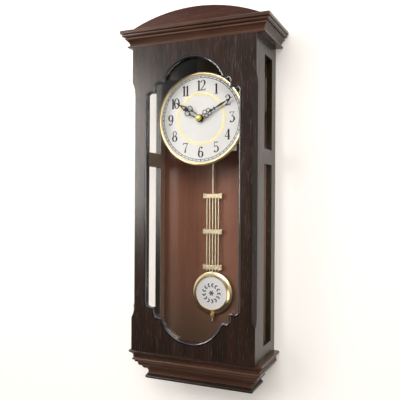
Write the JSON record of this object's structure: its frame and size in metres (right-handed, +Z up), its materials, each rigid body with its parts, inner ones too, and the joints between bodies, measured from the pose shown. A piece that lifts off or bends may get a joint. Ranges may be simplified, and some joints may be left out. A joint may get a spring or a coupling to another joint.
{
  "type": "regulator clock",
  "caption": "Wall-hung regulator clock: dark wooden case with arched pediment, glazed door, open side windows, white dial and gridiron pendulum.",
  "frame": {"origin": "centre of the hanger's keyhole, in the plane of the wall", "axes": "+Z up, +Y into the wall, the door faces -Y, +X to the right of someone who looks at the dial"},
  "size_m": [0.2856, 0.123, 0.675],
  "materials": {
    "dark_wood": "very dark brown-red stained wood, satin lacquer",
    "door_wood": "very dark stained open-pored wood with an upright grain, satin lacquer",
    "red_wood": "dark reddish stained wood, satin lacquer",
    "panel_wood": "reddish brown stained panel",
    "inner_wood": "dark stained board",
    "raw_wood": "unfinished softwood, hidden",
    "black_lacquer": "black wood bead, high gloss",
    "clear_glass": "clear flat glass",
    "white_enamel": "white, satin",
    "pale_gold": "pale gold plating, polished",
    "bob_metal": "cast metal with a bronze coat",
    "brass_fittings": "bright brass",
    "gear_brass": "machined brass",
    "zinc_steel": "zinc-plated steel",
    "black_paint": "black paint, satin",
    "black_plastic": "black moulded plastic",
    "pale_plastic": "off-white moulded plastic",
    "green_board": "printed circuit board",
    "battery_jacket": "plain dark metal jacket",
    "copper_coil": "enamelled copper winding",
    "black_rubber": "black rubber"
  },
  "bodies": {
    "case": {"back_panel": "panel_wood", "side_frame_left": "dark_wood", "side_frame_right": "dark_wood", "top_board": "dark_wood", "cornice_front": "red_wood", "cornice_left": "red_wood", "cornice_right": "red_wood", "pediment": "red_wood", "base_plate": "red_wood", "base_moulding_front": "red_wood", "base_moulding_left": "red_wood", "base_moulding_right": "red_wood", "plinth_board": "dark_wood", "glue_blocks": "raw_wood", "hanger_block": "raw_wood", "hanger_plate": "zinc_steel", "case_screws": "brass_fittings", "hinge_case_leaves": "brass_fittings", "hinge_pins": "brass_fittings", "catch_body": "black_plastic", "catch_magnet": "zinc_steel", "bearer_board": "inner_wood", "bearer_cleats": "raw_wood", "dial_pillars": "brass_fittings", "pillar_screws": "zinc_steel", "dial_plate": "white_enamel", "dial_bezel": "pale_gold", "dial_ring": "pale_gold", "dial_washer": "black_rubber", "dial_nut": "brass_fittings", "movement_case": "black_plastic", "movement_cover": "black_plastic", "motor_module": "pale_plastic", "circuit_board": "green_board", "battery": "battery_jacket", "battery_contacts": "zinc_steel", "drive_case": "black_plastic", "drive_coil": "copper_coil"},
    "door": {"door_panel": "door_wood", "door_bead": "black_lacquer", "door_glass": "clear_glass", "glass_stops": "dark_wood", "hinge_door_leaves": "brass_fittings", "strike_plate": "zinc_steel", "door_screws": "brass_fittings"},
    "minute": {"minute_arbor": "gear_brass", "minute_hand": "black_paint", "hand_cap": "gear_brass"},
    "hour": {"hour_wheel": "pale_plastic", "hour_hand": "black_paint"},
    "idler": {"idler_wheel": "pale_plastic"},
    "knob": {"setting_knob": "black_plastic"},
    "pendulum": {"pendulum_arm": "gear_brass", "pendulum_rods": "pale_gold", "cross_bars": "pale_gold", "bar_rivets": "pale_gold"},
    "bob": {"bob_rim": "pale_gold", "bob_back": "bob_metal", "bob_disc": "white_enamel"},
    "nut": {"rating_nut": "gear_brass"}
  },
  "joints": [
    {"name": "door_hinge", "type": "hinge", "parent": "case", "child": "door", "pos_m": [-0.12165, -0.0992, -0.265], "axis": [0, 0, -1], "range_deg": [0, 170]},
    {"name": "minute_turn", "type": "hinge", "parent": "case", "child": "minute", "pos_m": [0, -0.07, -0.1181], "axis": [0, 1, 0], "continuous": true},
    {"name": "hour_turn", "type": "hinge", "parent": "case", "child": "hour", "pos_m": [0, -0.07, -0.1181], "axis": [0, 1, 0], "continuous": true},
    {"name": "idler_turn", "type": "hinge", "parent": "case", "child": "idler", "pos_m": [0.012, -0.065, -0.1181], "axis": [0, 1, 0], "continuous": true},
    {"name": "knob_turn", "type": "hinge", "parent": "case", "child": "knob", "pos_m": [0.024, -0.06, -0.1181], "axis": [0, 1, 0], "continuous": true},
    {"name": "pendulum_swing", "type": "hinge", "parent": "case", "child": "pendulum", "pos_m": [0, -0.0163, -0.08], "axis": [0, 1, 0], "range_deg": [-4, 4]},
    {"name": "bob_slide", "type": "slide", "parent": "pendulum", "child": "bob", "axis": [0, 0, 1], "range_m": [-0.002, 0.002]},
    {"name": "nut_turn", "type": "hinge", "parent": "bob", "child": "nut", "pos_m": [0, -0.0141, -0.488], "axis": [0, 0, 1], "range_deg": [-1441, 1441]}
  ],
  "couplings": [
    {"joint": "hour_turn", "follows": "minute_turn", "ratio": 0.083333},
    {"joint": "idler_turn", "follows": "minute_turn", "ratio": -0.33333},
    {"joint": "knob_turn", "follows": "minute_turn", "ratio": 1},
    {"joint": "nut_turn", "follows": "bob_slide", "rad_per_m": 12566}
  ]
}
